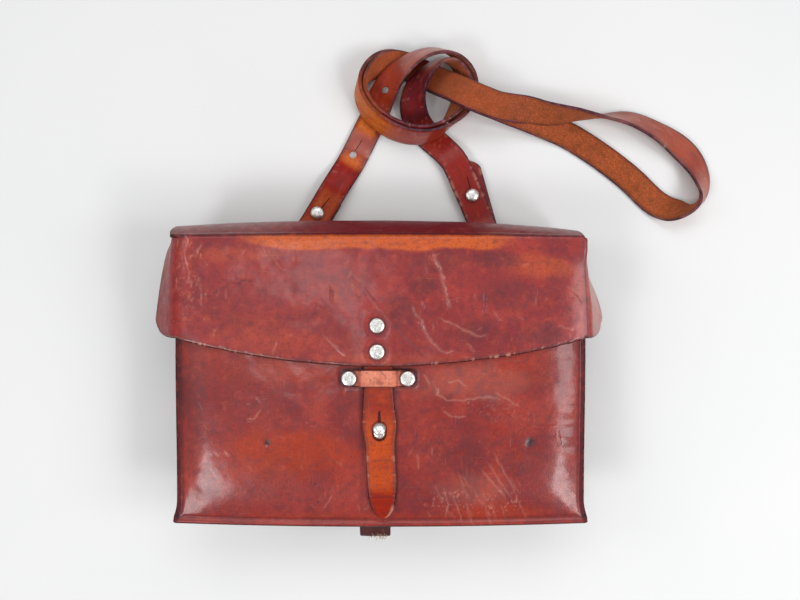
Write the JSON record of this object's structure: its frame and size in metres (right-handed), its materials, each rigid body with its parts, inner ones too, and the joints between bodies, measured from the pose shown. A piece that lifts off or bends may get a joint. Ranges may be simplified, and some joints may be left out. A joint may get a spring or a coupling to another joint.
{
  "type": "leather carrying case",
  "caption": "Flat leather carrying case with a riveted flap, folded ears, a button-stud closure strap under a keeper, a bottom loop and a long coiled shoulder strap.",
  "frame": {"origin": "middle of the back panel's outer face; the case lies on its back", "axes": "+X to the case's right seen from the front, +Y from its bottom seam towards the flap hinge, +Z out of its front"},
  "size_m": [0.3958, 0.3426, 0.0745],
  "materials": {
    "front_leather": "vegetable-tanned leather, polished by wear, dark at its rim",
    "gusset_leather": "dark vegetable-tanned leather",
    "back_leather": "vegetable-tanned leather, worn",
    "flap_leather": "vegetable-tanned leather with creases, scratches and a worn orange fold",
    "keeper_leather": "light worn leather",
    "tongue_leather": "orange-brown leather, burnished edges",
    "strap_leather": "strap leather, smooth grain on one side and suede flesh on the other",
    "anchor_leather": "vegetable-tanned leather",
    "loop_leather": "dark, oiled leather",
    "nickel_steel": "bright nickel plate with small scratches"
  },
  "bodies": {
    "bag_body": {"anchor_burr_left_inner": "nickel_steel", "anchor_burr_left_outer": "nickel_steel", "anchor_burr_right_inner": "nickel_steel", "anchor_burr_right_outer": "nickel_steel", "anchor_rivet_left_inner": "nickel_steel", "anchor_rivet_left_outer": "nickel_steel", "anchor_rivet_right_inner": "nickel_steel", "anchor_rivet_right_outer": "nickel_steel", "back_panel": "back_leather", "bottom_loop": "loop_leather", "bottom_loop_burr_back": "nickel_steel", "bottom_loop_burr_front": "nickel_steel", "bottom_loop_rivet_back": "nickel_steel", "bottom_loop_rivet_front": "nickel_steel", "closure_stud": "nickel_steel", "closure_stud_screw": "nickel_steel", "front_panel": "front_leather", "gusset": "gusset_leather", "keeper_burr_left": "nickel_steel", "keeper_burr_right": "nickel_steel", "keeper_loop": "keeper_leather", "keeper_rivet_left": "nickel_steel", "keeper_rivet_right": "nickel_steel", "strap_anchor_left": "anchor_leather", "strap_anchor_right": "anchor_leather", "strap_end_left": "strap_leather", "strap_end_right": "strap_leather"},
    "flap_top": {"flap_top": "flap_leather"},
    "flap_front": {"flap_front": "flap_leather", "closure_strap": "tongue_leather", "flap_rivet_upper": "nickel_steel", "flap_rivet_lower": "nickel_steel", "flap_burr_upper": "nickel_steel", "flap_burr_lower": "nickel_steel"},
    "closure_tongue": {"closure_tongue": "tongue_leather"},
    "shoulder_strap": {"shoulder_strap": "strap_leather", "strap_tip_left": "strap_leather", "strap_tip_right": "strap_leather", "strap_stud_left": "nickel_steel", "strap_stud_right": "nickel_steel", "strap_screw_left": "nickel_steel", "strap_screw_right": "nickel_steel"}
  },
  "joints": [
    {"name": "flap_hinge", "type": "hinge", "parent": "bag_body", "child": "flap_top", "pos_m": [0, 0.099, 0], "axis": [-1, 0, 0], "range_deg": [0, 60]},
    {"name": "flap_front_fold", "type": "hinge", "parent": "flap_top", "child": "flap_front", "pos_m": [0, 0.0924, 0.0634], "axis": [-1, 0, 0], "range_deg": [0, 80]},
    {"name": "closure_tongue_lift", "type": "hinge", "parent": "flap_front", "child": "closure_tongue", "pos_m": [0, -0.0056, 0.0591], "axis": [-1, 0, 0], "range_deg": [0, 60]},
    {"name": "strap_swing", "type": "hinge", "parent": "bag_body", "child": "shoulder_strap", "pos_m": [0, 0.099, -0.0092], "axis": [-1, 0, 0], "range_deg": [0, 120]}
  ]
}
